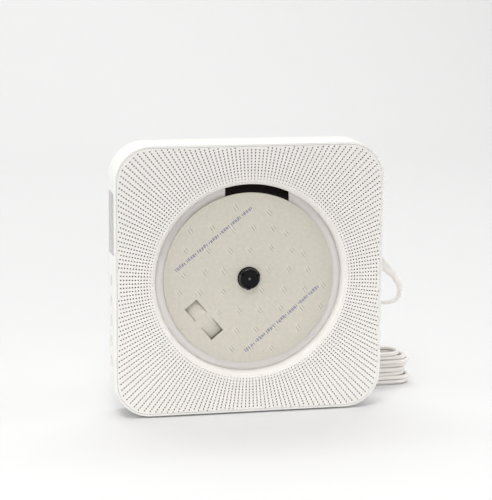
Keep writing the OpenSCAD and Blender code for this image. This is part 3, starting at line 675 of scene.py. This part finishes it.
for i in range(35, 67):
    for k in range(200):
        a = math.radians(1.8 * k)
        cx, cz = 2 * i * math.cos(a), 2 * i * math.sin(a)
        a0, a1 = math.radians(1.8 * (k - 0.5)), math.radians(1.8 * (k + 0.5))
        r0, r1 = 2 * i - 1, 2 * i + 1
        rad = hole_radius(i)
        cell = [(r0 * math.cos(a0), r0 * math.sin(a0)), (r1 * math.cos(a0), r1 * math.sin(a0)), (r1 * math.cos(a1), r1 * math.sin(a1)), (r0 * math.cos(a1), r0 * math.sin(a1))]
        gaps = [square_gap(x, z, PANEL) for x, z in cell]
        if max(gaps) <= 0 and square_gap(cx, cz, PANEL) < -3:
            continue
        if min(gaps) < 0.05:
            cell = clip(cell, bound)
            if len(cell) < 3:
                continue
            tidy = []
            for p in cell:
                if not tidy or math.dist(p, tidy[-1]) > 2e-3:
                    tidy.append(p)
            if len(tidy) > 1 and math.dist(tidy[0], tidy[-1]) < 2e-3:
                tidy.pop()
            cell = tidy
            if len(cell) < 3:
                continue
            for p in cell:
                if square_gap(p[0], p[1], PANEL) < 0.06:
                    edge_keys.add((round(p[0], 3), round(p[1], 3)))
        if square_gap(cx, cz, 91.36) >= 0:
            ring = [(cx + rad * math.cos(a + 2 * math.pi * (j + 0.5) / 12), cz + rad * math.sin(a + 2 * math.pi * (j + 0.5) / 12)) for j in range(12)]
            wide = [(cx + (x - cx) * WIDEN, cz + (z - cz) * WIDEN) for x, z in ring]     # each hole widens towards the back
            stitch(cell, ring, cx, cz, 0)
            stitch(cell, wide, cx, cz, 1)
            fr = [panel_vert(*p, 0) for p in ring]
            bk = [panel_vert(*p, 1) for p in wide]
            for j in range(12):
                pf.append((fr[j], bk[j], bk[(j + 1) % 12], fr[(j + 1) % 12]))
        else:
            ids = [panel_vert(*p, 0) for p in cell]
            if len(set(ids)) >= 3:
                pf.append(tuple(ids))
                pf.append(tuple(reversed([panel_vert(*p, 1) for p in cell])))

# the rounded outer edge
edge = sorted(edge_keys, key=lambda p: math.atan2(p[1], p[0]))
loops = [[panel_vert(*p, 0) for p in edge]]
for off, d in ((0.12, 0.02), (0.22, 0.1), (0.29, 0.22), (0.32, 0.38), (0.32, 1.7), (0.2, 2.0)):
    ring = []
    for x, z in edge:
        if abs(x) > 69 and abs(z) > 69:
            n_ = Vector((abs(x) - 69, abs(z) - 69)).normalized()
            nx, nz = math.copysign(n_.x, x), math.copysign(n_.y, z)
        elif abs(x) > abs(z):
            nx, nz = math.copysign(1, x), 0
        else:
            nx, nz = 0, math.copysign(1, z)
        ring.append(len(pv))
        pv.append(at(x + nx * off, d, z + nz * off))
    loops.append(ring)
loops.append([panel_vert(*p, 1) for p in edge])
for a, b in zip(loops, loops[1:]):
    for j in range(len(a)):
        q = (a[j], b[j], b[(j + 1) % len(a)], a[(j + 1) % len(a)])
        if len(set(q)) == 4:
            pf.append(q)

# the lip of the well
angles = [math.radians(1.8 * (k + 0.5)) for k in range(200)]
rows = [[panel_vert(67 * math.cos(a), 67 * math.sin(a), 0) for a in angles]]
prof = []
for i in range(1, 11):
    t = math.radians(43.07 + (90 - 43.07) * i / 10)
    prof.append((THROAT + 4.1 * (1 - math.sin(t)), LIP_D * (1 - math.cos(t))))
prof += [(65.7, 5.85), (65.82, 5.98), (66.05, 6.0), (67.2, 6.0)]
for i in range(0, 9):
    t = math.radians(90 - (90 - 37.2) * i / 9)
    prof.append((67.3 + 4.3 * (1 - math.sin(t)), 2 + 3.6 * (1 - math.cos(t))))
for r, d in prof:
    rows.append([])
    for a in angles:
        rows[-1].append(len(pv))
        pv.append(at(r * math.cos(a), d, r * math.sin(a)))
rows.append([panel_vert(69 * math.cos(a), 69 * math.sin(a), 1) for a in angles])
for a, b in zip(rows, rows[1:]):
    for j in range(200):
        pf.append((a[j], a[(j + 1) % 200], b[(j + 1) % 200], b[j]))
for a in (40, 140, 220, 320):
    x, z = 71.2 * math.cos(math.radians(a)), 71.2 * math.sin(math.radians(a))
    rv_, rf_ = rod(x, z, 1.9, 2.15, 6.3, 24)
    k = len(pv)
    pv += rv_
    pf += [tuple(i + k for i in q) for q in rf_]
print("panel", len(pv), len(pf))
panel = obj("drilled_front", pv, pf, "panel", "player", 34, ["front_panel"])

# ---------------------------------------------------------------- housing
prof = [(92.3, 2.0), (92.3, 0.7), (92.36, 0.53), (92.5, 0.43), (92.7, 0.4), (93.35, 0.4), (93.56, 0.43), (93.74, 0.52), (93.87, 0.66), (93.96, 0.84), (94.0, 1.05), (94.0, 1.8),
        (94.0, 30.9), (93.93, 31.3), (93.78, 31.65), (93.55, 31.88), (93.2, 32.0), (92.2, 32.0), (92.2, 30.0), (91.4, 30.0), (91.4, 2.0)]
shell = raw(*square_stack(prof, 69, 28))
tools = [raw(*box_data((-95, -90.4), (15.7 - 11.25, 15.7 + 11.25), (39.9 - 21.35, 39.9 + 21.35)))]
tools += [raw(*cross_rod(-95, -90.4, 15.7, -0.2 - i * 14.15, 3.9)) for i in range(5)]
tools += [raw(*cross_rod(90.4, 95, 15.7, 7, 4.2)), raw(*cross_rod(90.4, 95, 15.7, 19.5, 3.3)),
          raw(*box_data((90.4, 93.01), (14.1, 17.3), (29.6, 38.4))), raw(*box_data((93, 95), (12.5, 18.9), (28, 40)))]
tools += [raw(*box_data((s * 62 - 14.2, s * 62 + 14.2), (4.8, 27.2), (-95, -93.35))) for s in (-1, 1)]
me = carve(shell, tools)
for x, z in ((82.5, 82.5), (-82.5, 82.5), (38, -88), (-38, -88)):
    bm = bmesh.new()
    bm.from_mesh(me)
    rings = [[at(x + r * math.cos(2 * math.pi * k / 32), d, z + r * math.sin(2 * math.pi * k / 32)) for k in range(32)] for r, d in ((3.5, 14), (3.5, 30), (1.3, 30), (1.3, 20), (1.3, 14))]
    pv_, pf_ = stack(rings, True)
    bv = [bm.verts.new(p) for p in pv_]
    for q in pf_:
        bm.faces.new([bv[i] for i in q])
    bm.to_mesh(me)
    bm.free()
housing = finish_piece("rounded_shell", me, "shell", "player", 30, ["housing"])

# ---------------------------------------------------------------- deck, window and what sits in it
groove = [(66.5, 6.3), (66.2, 6.36), (66.1, 6.6), (66.1, 7.2), (66.1, 9.0), (66.05, 9.25)]
ring = [(60.2 + 5.6 * math.sin(math.radians(88 - 4 * i)), 8 + 1.4 * (1 - math.cos(math.radians(88 - 4 * i)))) for i in range(23)]   # from the groove inwards
slope = [(57.2, 8.0), (56.7, 8.06), (56.2, 8.27), (53.2, 10.2), (52.6, 10.42), (51.9, 10.5)]
back = [(52.9, 12), (56.6, 9.6), (57.2, 9.5)] + [(60.2 + 5.3 * math.sin(math.radians(6 * i)), 9.5 + 1.4 * (1 - math.cos(math.radians(6 * i)))) for i in range(16)] + [(67.5, 10.9), (67.6, 10.8), (67.6, 7.8)]
prof = [(74.4, 6.3)] + groove + ring + slope + [(45, 10.5), (30, 10.5), (15.2, 10.5), (15, 10.7), (14.8, 10.7), (14.6, 10.5), (8.3, 10.5), (8.05, 10.6), (8, 10.8), (8, 12), (30, 12), (50, 12)] + back + [(74.4, 7.8)]
deck = raw(*turned(prof, 240))
tools = [raw(*box_data((-58.85, -20.4), (5, 13), (-6, 6)))]


def sector(r0, r1, d0, d1, x0, x1, n=40):
    """A block between two radii, with upright ends, above the middle of the well."""
    rings = []
    for i in range(n + 1):
        x = x0 + (x1 - x0) * i / n
        z0, z1 = math.sqrt(r0 * r0 - x * x), math.sqrt(r1 * r1 - x * x)
        rings.append([at(x, d0, z0), at(x, d0, z1), at(x, d1, z1), at(x, d1, z0)])
    return stack(rings, False, True)


tools.append(raw(*sector(57.4, 66.7, 4, 14, -16.6, 28.2)))
me = carve(deck, tools)
deck = finish_piece("dished_deck", me, "deck", "player", 28, ["deck"])
damper_at = ((-66, -26), (-58, 41), (24, 40), (20, -22))
parts = []
for x, z in damper_at:
    d0 = 7.5 if math.hypot(x, z) > 60 else 11.5
    rings = [[at(x + r * math.cos(2 * math.pi * k / 24), d, z + r * math.sin(2 * math.pi * k / 24)) for k in range(24)] for r, d in ((2.6, d0), (2.6, 12.3), (1.3, 12.3), (1.3, d0))]
    parts.append(stack(rings, True))
posts = obj("deck_posts", *merged(parts), "deck", "player")

prof = [(70, 9.4)] + ring + [(56, 8), (56, 9.2)] + [(60.2 + 5.4 * math.sin(math.radians(6 * i)), 9.2 + 1.4 * (1 - math.cos(math.radians(6 * i)))) for i in range(16)] + [(70, 10.6)]
window = raw(*turned(prof, 360))
me = carve(window, [raw(*sector(57.6, 66.5, 4, 14, -16.4, 28, 60))], "INTERSECT")
bm = bmesh.new()
bm.from_mesh(me)
bmesh.ops.dissolve_degenerate(bm, edges=bm.edges[:], dist=1e-6)
bm.to_mesh(me)
bm.free()
window = finish_piece("arched_window", me, "dark_window", "player", 28, ["ir_window"])

# ---------------------------------------------------------------- disc
CUTS = ((-37.1, -21.6), (-25.5, -35.1))
prof = [(59.55, 5.6), (59.65, 5.64), (59.7, 5.75), (59.7, 6.65), (59.6, 6.8), (7.98, 6.8), (7.95, 6.7), (7.95, 5.68), (8.03, 5.6), (30, 5.6), (50, 5.6)]
body = raw(*turned(prof, 256))


def cut_frame(i):
    """Directions of a window's length and width, and its centre."""
    a = math.radians(-50)
    return CUTS[i], (math.cos(a), math.sin(a)), (-math.sin(a), math.cos(a))


def cut_point(i, u, w, d):
    c, e, n_ = cut_frame(i)
    return at(c[0] + u * e[0] + w * n_[0], d, c[1] + u * e[1] + w * n_[1])


tools = []
for i in range(2):
    pts = [cut_point(i, u, w, d) for d in (4, 8) for u, w in ((-5.8, -5.25), (5.8, -5.25), (5.8, 5.25), (-5.8, 5.25))]
    tools.append(raw(pts, [(0, 1, 2, 3), (4, 5, 6, 7), (0, 1, 5, 4), (1, 2, 6, 5), (2, 3, 7, 6), (3, 0, 4, 7)]))
me = carve(body, tools)
disc = finish_piece("card_disc", me, "card", "disc", 30, ["disc"])
parts = []
for i in range(2):
    s = 1 if i == 0 else -1
    rings = []
    for j in range(15):       # the flap leaves its crease in a short bend, then goes down nearly straight
        t = j / 14
        u = 5.85 - 11.3 * t
        d = 5.66 + 3.05 * (t ** 1.12)
        rings.append([cut_point(i, s * u, w, d + th) for w, th in ((-5.05, 0.08), (-4.95, 0), (4.95, 0), (5.05, 0.08), (5.05, 0.8), (-5.05, 0.8))])
    parts.append(stack(rings, False, True))
flaps = obj("card_flaps", *merged(parts), "card", "disc", 40)

# pressed crease marks: short pairs of low ridges; the taller ridges are coloured lighter than the card as a painted
# highlight, the lower and shorter strips darker as painted shade
marks = [(435, 150), (620, 152), (905, 198), (240, 330), (425, 312), (600, 330), (770, 316), (940, 330), (1050, 380), (205, 495), (392, 500), (575, 508), (745, 510), (925, 495), (1100, 520),
         (1200, 552), (365, 680), (525, 680), (185, 705), (900, 680), (1075, 680), (1240, 690), (150, 848), (325, 850), (520, 850), (845, 850), (1035, 850), (1210, 850), (485, 1030), (655, 1020),
         (830, 1022), (1010, 1010), (1190, 1010), (1350, 1000), (135, 1035), (635, 1190), (800, 1182), (980, 1180), (1160, 1180), (595, 1340), (755, 1340), (935, 1350), (470, 1345), (1370, 825)]
parts, shade_fold_parts = [], []
for mx, my in marks:
    x, z = (mx - 744) / 12, (744 - my) / 12
    if math.hypot(x, z) > 55 or math.hypot(x, z) < 12:
        continue
    tilt = math.radians(-52 + random.uniform(-6, 6))
    e, w = (math.cos(tilt), math.sin(tilt)), (-math.sin(tilt), math.cos(tilt))
    # the fold strips take the darker card copy, which is painted shade; the other ridges the lighter copy, a painted
    # highlight
    for off, shift, tall, fold in ((-0.95, 0.0, 0.18, False), (-0.4, 0.9, 0.07, True), (0.85, -0.3, 0.13, False), (1.4, 0.5, 0.06, True)):
        half_l = random.uniform(2.5, 3.4) * (0.75 if fold else 1)
        high = tall * random.uniform(0.8, 1.2)
        width = random.uniform(0.3, 0.4)
        bow = random.uniform(-0.12, 0.12)
        ox, oz = x + w[0] * off + e[0] * shift, z + w[1] * off + e[1] * shift
        rings = []
        for j in range(11):
            t = -1 + j / 5
            k = math.sqrt(max(0.0, 1 - t * t)) if abs(t) < 1 else 0.03
            lean = bow * (1 - t * t)
            ring_ = []
            for q, h in ((-1, 0), (-0.6, 0.3), (-0.2, 0.85), (0.1, 1), (0.4, 0.75), (0.7, 0.25), (1, 0)):
                across = q * width * (0.25 + 0.75 * k) + lean
                ring_.append(at(ox + e[0] * t * half_l + w[0] * across, 5.61 - high * k * h, oz + e[1] * t * half_l + w[1] * across))
            rings.append(ring_ + [at(ox + e[0] * t * half_l + w[0] * lean, 5.8, oz + e[1] * t * half_l + w[1] * lean)])
        (shade_fold_parts if fold else parts).append(stack(rings, False, True))
# lighter ridges carry a painted highlight, the darker strips painted shade
highlight_ridges = obj("lit_crease_ridges", *merged(parts), "card_fibre", "disc", 60)
folded = obj("shaded_fold_strips", *merged(shade_fold_parts), "card_fold", "disc", 60)

# two printed rules of plain blue strokes
parts = []
for (x0, z0), (x1, z1) in (((-51.2, 6.9), (1.4, 49.2)), ((-2.0, -51.6), (50.4, -6.9))):
    span = math.dist((x0, z0), (x1, z1))
    e = ((x1 - x0) / span, (z1 - z0) / span)
    w = (-e[1], e[0])
    s = 0.0
    count = 0
    while s < span:
        lo, hi = random.choice(((-0.95, 0.95), (-0.95, 0.95), (-0.95, 1.45), (-1.45, 0.95), (-0.95, 0.6)))
        pts = []
        for d in (5.585, 5.61):
            for a, b in ((s, lo), (s + 0.4, lo), (s + 0.4, hi), (s, hi)):
                pts.append(at(x0 + e[0] * a + w[0] * b, d, z0 + e[1] * a + w[1] * b))
        parts.append((pts, [(0, 1, 2, 3), (7, 6, 5, 4), (0, 1, 5, 4), (1, 2, 6, 5), (2, 3, 7, 6), (3, 0, 4, 7)]))
        count += 1
        s += 2.3 if count % 8 == 0 else (0.8, 1.3)[count % 2]
rules = obj("blue_strokes", *merged(parts), "ink", "disc", 30)

# ---------------------------------------------------------------- hub and claws
def hub_piece(profile, name, slot, replaced):
    """A turned part of the hub, cut open at the three claws."""
    body = raw(*turned(profile, 128))
    tools = []
    for a in (24, 145, 266):
        e, w = (math.cos(math.radians(a)), math.sin(math.radians(a))), (-math.sin(math.radians(a)), math.cos(math.radians(a)))
        for d0, d1, u0, u1, half in ((3.1, 6.1, 3.6, 8.6, 1.55), (1.0, 3.15, 5.3, 6.95, 0.95), (1.0, 2.9, 2.15, 3.0, 0.42)):
            pts = [at(u * e[0] + q * w[0], d, u * e[1] + q * w[1]) for d in (d0, d1) for u, q in ((u0, -half), (u1, -half), (u1, half), (u0, half))]
            tools.append(raw(pts, [(0, 1, 2, 3), (4, 5, 6, 7), (0, 1, 5, 4), (1, 2, 6, 5), (2, 3, 7, 6), (3, 0, 4, 7)]))
    return finish_piece(name, carve(body, tools), slot, "spindle", 30, replaced)


hub = hub_piece([(1.02, 6.8), (6.5, 6.8), (6.5, 2.2), (6.3, 2.08), (6.0, 2.0), (5.3, 1.97), (5.15, 2.08), (5.0, 2.08), (4.85, 1.97), (3.3, 1.9), (2.7, 1.88), (2.45, 1.98), (2.3, 2.2), (1.8, 2.28), (1.2, 2.3), (1.02, 2.35)],
                "spindle_hub", "hub_black", ["hub"])
rim = hub_piece([(6.52, 2.2), (6.52, 6.8), (7.35, 6.8), (7.4, 6.7), (7.38, 4.2), (7.33, 3.5), (7.2, 2.95), (7.0, 2.5), (6.75, 2.24), (6.6, 2.17)], "hub_edge", "hub_rim", ())
for i, a in enumerate((24, 145, 266)):
    e, w = (math.cos(math.radians(a)), math.sin(math.radians(a))), (-math.sin(math.radians(a)), math.cos(math.radians(a)))
    rings = []
    for u, half_w, d0, d1 in ((4.6, 1.2, 3.45, 5.75), (4.75, 1.33, 3.32, 5.88), (7.0, 1.35, 3.3, 5.9), (7.45, 1.33, 3.4, 5.5), (7.8, 1.25, 3.6, 5.15), (8.02, 1.05, 3.9, 4.85)):
        ring = []
        for q, r in super_section(half_w, (d1 - d0) / 2, 5, 20):
            ring.append(at(u * e[0] + q * w[0], (d0 + d1) / 2 + r, u * e[1] + q * w[1]))
        rings.append(ring)
    obj("hub_claw_%d" % (i + 1), *stack(rings, False, True), "hub_black", ["claw_a", "claw_b", "claw_c"][i], 35, ["claw_%d" % (i + 1)])
shaft = obj("spindle_rod", *turned([(0.02, 2.2), (0.2, 2.21), (0.38, 2.27), (0.44, 2.5), (0.5, 2.62), (0.94, 2.66), (1.0, 2.75), (1.0, 23.85), (0.9, 24.0), (0.02, 24.0)], 48), "tip", "spindle", 40, ["spindle_shaft"])

# ---------------------------------------------------------------- left side: display window and buttons
ring_pts = lambda hw, hh, r, n=10: [(sx * (hw - r) + r * math.cos(math.radians(90 * q + 90 * i / n)), sz * (hh - r) + r * math.sin(math.radians(90 * q + 90 * i / n)))
                                    for q, (sx, sz) in enumerate(((1, 1), (-1, 1), (-1, -1), (1, -1))) for i in range(n + 1)]
rings = []
for x, inset, r in ((-92.8, 0, 1.6), (-93.75, 0, 1.6), (-93.9, 0.06, 1.55), (-93.98, 0.18, 1.45), (-94.0, 0.34, 1.3)):
    rings.append([at(x, 15.7 + p, 39.9 + q) for p, q in ring_pts(11.1 - inset, 21.2 - inset, r)])
v, f = stack(rings, False, True)
display = obj("display_cover", v, f, "display_window", "player", 25, ["display_window"])
for i in range(5):
    z = -0.2 - 14.15 * i
    prof = [(0.02, 93.62), (1.2, 93.635), (2.2, 93.69), (2.9, 93.78), (3.25, 93.86), (3.45, 93.88), (3.6, 93.83), (3.68, 93.72), (3.7, 93.55), (3.7, 91.3), (4.8, 91.3), (4.8, 90.5), (2.0, 90.5), (2.0, 89.9), (0.02, 89.9)]
    n = 64
    rings = [[at(-x, 15.7 + r * math.cos(2 * math.pi * k / n), z + r * math.sin(2 * math.pi * k / n)) for k in range(n)] for r, x in prof]
    obj("round_button_%d" % (i + 1), *stack(rings, True), "button", "button_%d" % (i + 1), 35, ["button_%d" % (i + 1)])

# ---------------------------------------------------------------- pieces of the back and sides, with broken edges
def softened(node, name, slot, body, width, segments=2, angle=28):
    """A moulded or pressed copy of a solid: its flat faces joined up and every sharp edge rounded."""
    src = frame["nodes"][node]
    me = src.data.copy()
    me.transform(src.matrix_world)
    bm = bmesh.new()
    bm.from_mesh(me)
    bmesh.ops.remove_doubles(bm, verts=bm.verts, dist=4e-6)
    bmesh.ops.dissolve_limit(bm, angle_limit=math.radians(0.6), verts=bm.verts[:], edges=bm.edges[:])
    sharp = [e for e in bm.edges if len(e.link_faces) == 2 and e.calc_face_angle(0) > math.radians(angle)]
    bmesh.ops.bevel(bm, geom=sharp, offset=width * MM, segments=segments, profile=0.6, affect="EDGES", clamp_overlap=True)
    bmesh.ops.triangulate(bm, faces=[f for f in bm.faces if len(f.verts) > 4])
    bm.to_mesh(me)
    bm.free()
    return finish_piece(name, me, slot, body, 34, [node])


softened("rear_cover", "moulded_back", "rear", "player", 0.3)
softened("wall_bracket", "pressed_bracket", "bracket", "bracket", 0.3)
softened("feet", "rubber_feet", "foot", "player", 0.35)
softened("rear_screws", "back_screws", "steel", "player", 0.1)
softened("dc_jack", "power_socket", "dark_plastic", "player", 0.2)
softened("audio_jack", "audio_socket", "dark_plastic", "player", 0.2)
softened("switch_knob", "sliding_knob", "dark_plastic", "switch_knob", 0.15)

# ---------------------------------------------------------------- carried-over CAD nodes
for part in frame["record"]["subparts"]:
    o = frame["nodes"][part["node"]]
    o.data.materials.clear()
    o.data.materials.append(MAT[part["material_slot"]])
